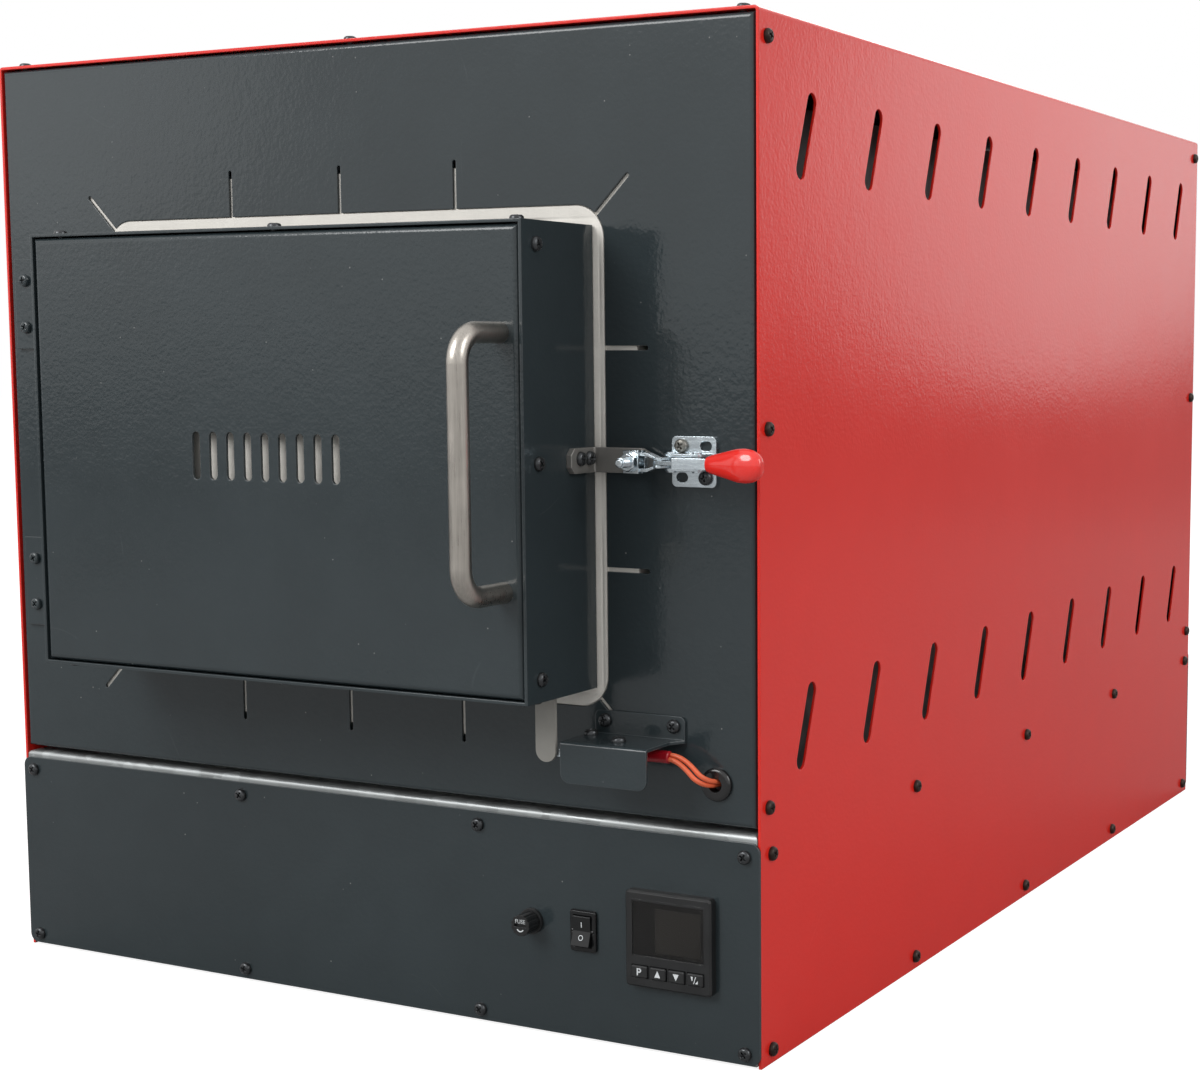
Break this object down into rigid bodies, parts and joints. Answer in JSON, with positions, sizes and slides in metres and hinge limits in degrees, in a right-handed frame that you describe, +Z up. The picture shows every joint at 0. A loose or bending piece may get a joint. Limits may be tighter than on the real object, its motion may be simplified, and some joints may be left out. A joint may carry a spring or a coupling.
{
  "type": "hardening oven",
  "caption": "Bench hardening oven: slotted sheet-steel cabinet, side-hinged door held by a toggle clamp, brick-lined heated chamber, door switch and controls under the door.",
  "frame": {"origin": "middle of the underside of the bottom tray", "axes": "+X to the right seen from the front, the front with the door faces -Y, +Z up"},
  "size_m": [0.4959, 0.8135, 0.5024],
  "materials": {
    "red_coat": "glossy orange-peel powder coat",
    "grey_coat": "glossy orange-peel powder coat",
    "galvanised": "galvanised sheet",
    "fibre": "pressed ceramic fibre",
    "brick": "light insulating brick",
    "coil": "oxidised resistance wire",
    "ceramic": "glazed ceramic",
    "black_screw": "black zinc",
    "bare_steel": "dark mill finish",
    "stainless": "satin stainless",
    "zinc": "bright blue zinc plate",
    "tab_coat": "satin light grey",
    "grip": "dipped soft plastic",
    "black_plastic": "moulded",
    "gloss_black": "polished",
    "rubber": "moulded",
    "key_rubber": "moulded",
    "orange_silicone": "smooth",
    "red_sleeve": "shrunk sleeve",
    "aluminium": "extruded",
    "white_plastic": "moulded",
    "glass": "clear"
  },
  "bodies": {
    "cabinet": {"wrapper": "red_coat", "front_panel": "grey_coat", "rear_panel": "grey_coat", "control_panel": "grey_coat", "lower_rear_panel": "grey_coat", "chassis_shelf": "galvanised", "bottom_tray": "galvanised", "inner_casing": "galvanised", "fibre_frame": "fibre", "insulation": "fibre", "chamber_lining": "brick", "hearth_plate": "ceramic", "heating_coils": "coil", "coil_bushes": "ceramic", "thermocouple": "aluminium", "case_screws": "black_screw", "hinge_cabinet_leaves": "grey_coat", "hinge_pins": "zinc", "clamp_base": "zinc", "clamp_base_pins": "zinc", "switch_bracket": "grey_coat", "limit_switch": "black_plastic", "heat_shrink": "red_sleeve", "switch_wire_a": "orange_silicone", "switch_wire_b": "orange_silicone", "wire_grommet": "rubber", "controller_case": "black_plastic", "controller_window": "gloss_black", "rocker_housing": "gloss_black", "fuse_holder": "black_plastic", "mains_inlet": "black_plastic", "heatsink": "aluminium", "relay": "black_plastic", "contactor": "white_plastic", "terminal_block": "white_plastic"},
    "door": {"door_frame": "grey_coat", "door_cover": "grey_coat", "door_insulation": "fibre", "door_plug": "fibre", "door_handle": "stainless", "handle_screws": "black_screw", "door_screws": "black_screw", "latch_strap": "bare_steel", "switch_tab": "tab_coat", "hinge_door_leaves": "grey_coat"},
    "clamp_arm": {"clamp_arm": "zinc", "arm_pin": "zinc", "clamp_spindle": "zinc", "spindle_nuts": "zinc"},
    "clamp_lever": {"clamp_handle": "zinc", "clamp_grip": "grip"},
    "clamp_link": {"clamp_links": "zinc"},
    "switch_lever": {"switch_lever": "zinc"},
    "rocker": {"rocker": "gloss_black"},
    "fuse_cap": {"fuse_cap": "black_plastic", "glass_fuse": "glass"},
    "key_program": {"key_program": "key_rubber"},
    "key_up": {"key_up": "key_rubber"},
    "key_down": {"key_down": "key_rubber"},
    "key_run": {"key_run": "key_rubber"}
  },
  "joints": [
    {"name": "door_hinge", "type": "hinge", "parent": "cabinet", "child": "door", "pos_m": [-0.172, -0.375, 0.291], "axis": [0, 0, -1], "range_deg": [0, 120]},
    {"name": "clamp_arm_pivot", "type": "hinge", "parent": "cabinet", "child": "clamp_arm", "pos_m": [0.197, -0.363, 0.291], "axis": [0, 0, 1], "range_deg": [0, 75]},
    {"name": "clamp_lever_pivot", "type": "hinge", "parent": "clamp_arm", "child": "clamp_lever", "pos_m": [0.1944, -0.37005, 0.291], "axis": [0, 0, -1], "range_deg": [0, 106.1]},
    {"name": "clamp_link_pivot", "type": "hinge", "parent": "cabinet", "child": "clamp_link", "pos_m": [0.211, -0.363, 0.291], "axis": [0, 0, 1], "range_deg": [0, 101.7]},
    {"name": "switch_lever_pivot", "type": "hinge", "parent": "cabinet", "child": "switch_lever", "pos_m": [0.172, -0.3784, 0.15035], "axis": [0, 0, 1], "range_deg": [0, 8]},
    {"name": "rocker_pivot", "type": "hinge", "parent": "cabinet", "child": "rocker", "pos_m": [0.1413, -0.3575, 0.0563], "axis": [1, 0, 0], "range_deg": [0, 14]},
    {"name": "fuse_cap_slide", "type": "slide", "parent": "cabinet", "child": "fuse_cap", "axis": [0, -1, 0], "range_m": [0, 0.025]},
    {"name": "key_program_press", "type": "slide", "parent": "cabinet", "child": "key_program", "axis": [0, 1, 0], "range_m": [0, 0.0008], "stiffness_N_per_m": 300, "springref_m": -0.001},
    {"name": "key_up_press", "type": "slide", "parent": "cabinet", "child": "key_up", "axis": [0, 1, 0], "range_m": [0, 0.0008], "stiffness_N_per_m": 300, "springref_m": -0.001},
    {"name": "key_down_press", "type": "slide", "parent": "cabinet", "child": "key_down", "axis": [0, 1, 0], "range_m": [0, 0.0008], "stiffness_N_per_m": 300, "springref_m": -0.001},
    {"name": "key_run_press", "type": "slide", "parent": "cabinet", "child": "key_run", "axis": [0, 1, 0], "range_m": [0, 0.0008], "stiffness_N_per_m": 300, "springref_m": -0.001}
  ],
  "couplings": [
    {"joint": "clamp_lever_pivot", "follows": "clamp_arm_pivot", "ratio": 1.4127},
    {"joint": "clamp_link_pivot", "follows": "clamp_arm_pivot", "ratio": 1.3546},
    {"joint": "switch_lever_pivot", "follows": "door_hinge", "ratio": 0.0666}
  ]
}
